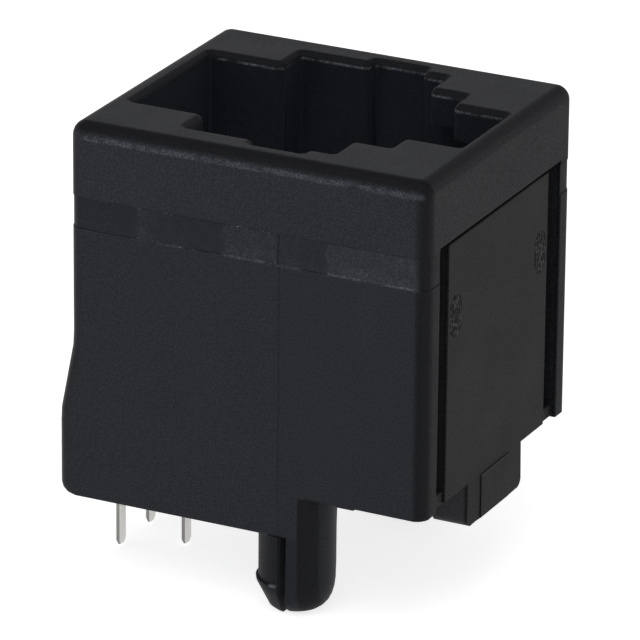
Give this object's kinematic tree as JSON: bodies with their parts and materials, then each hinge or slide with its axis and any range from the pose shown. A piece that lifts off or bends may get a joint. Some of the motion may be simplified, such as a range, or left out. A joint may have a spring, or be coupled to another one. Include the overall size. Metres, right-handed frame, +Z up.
{
  "type": "modular jack",
  "caption": "Vertical board-mount modular jack: black housing with a stepped plug opening on top, bottom-loaded contact carrier, formed strip contacts and split snap pegs.",
  "frame": {"origin": "on the board plane, midway between the axes of the two pegs", "axes": "+Z up out of the board towards the plug opening, +X towards the plug's latch, +Y along the row of contacts"},
  "size_m": [0.0161, 0.0138, 0.0191],
  "materials": {
    "housing_plastic": "black glass-filled moulding, fine satin grain",
    "carrier_plastic": "black glass-filled moulding, fine satin grain",
    "contact_metal": "stamped strip, gold-plated spring and tinned tail"
  },
  "bodies": {
    "root": {"housing": "housing_plastic", "contact_carrier": "carrier_plastic", "contact_1": "contact_metal", "contact_2": "contact_metal", "contact_3": "contact_metal", "contact_4": "contact_metal", "contact_5": "contact_metal", "contact_6": "contact_metal"}
  },
  "joints": []
}
